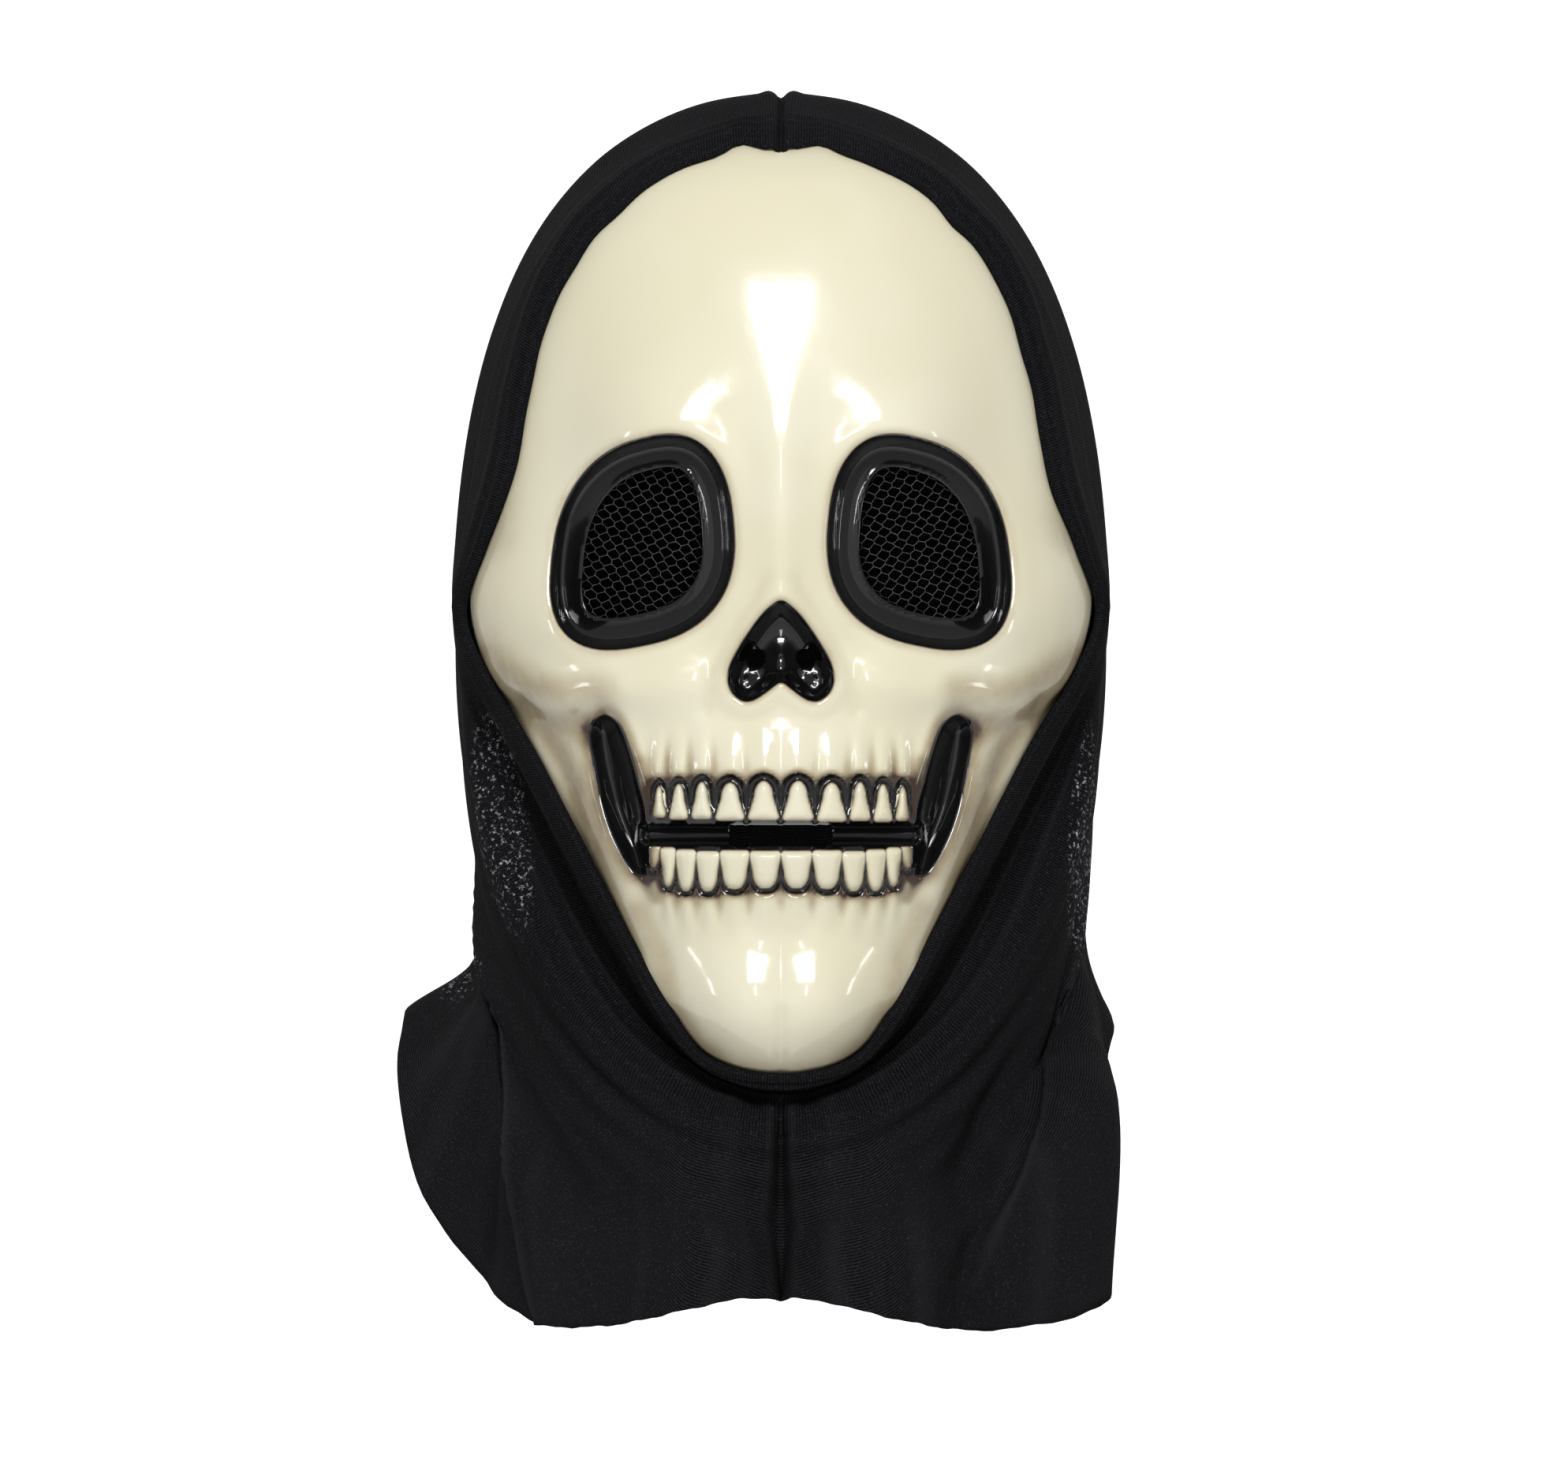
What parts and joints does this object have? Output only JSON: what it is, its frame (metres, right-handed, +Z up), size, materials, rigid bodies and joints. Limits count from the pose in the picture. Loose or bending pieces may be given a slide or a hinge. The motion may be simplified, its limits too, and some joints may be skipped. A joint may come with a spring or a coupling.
{
  "type": "skull mask with hood",
  "caption": "Glossy moulded skull face with net behind the eye holes, a nose cavity, rows of teeth and side grooves, and a black cloth hood that drapes to the shoulders.",
  "frame": {"origin": "where the top of the wearer's head meets the inside of the hood", "axes": "+Z up, the face looks along -Y, +X to the right of someone who faces the mask"},
  "size_m": [0.2063, 0.2264, 0.3548],
  "materials": {
    "mask_shell": "high gloss cream with black glossy recesses and brown shading",
    "eye_screen": "matt black open net",
    "hood": "matt black fine knit, slightly sheer in one layer"
  },
  "bodies": {
    "root": {"mask_shell": "mask_shell", "eye_screen_left": "eye_screen", "eye_screen_right": "eye_screen", "hood": "hood"}
  },
  "joints": []
}
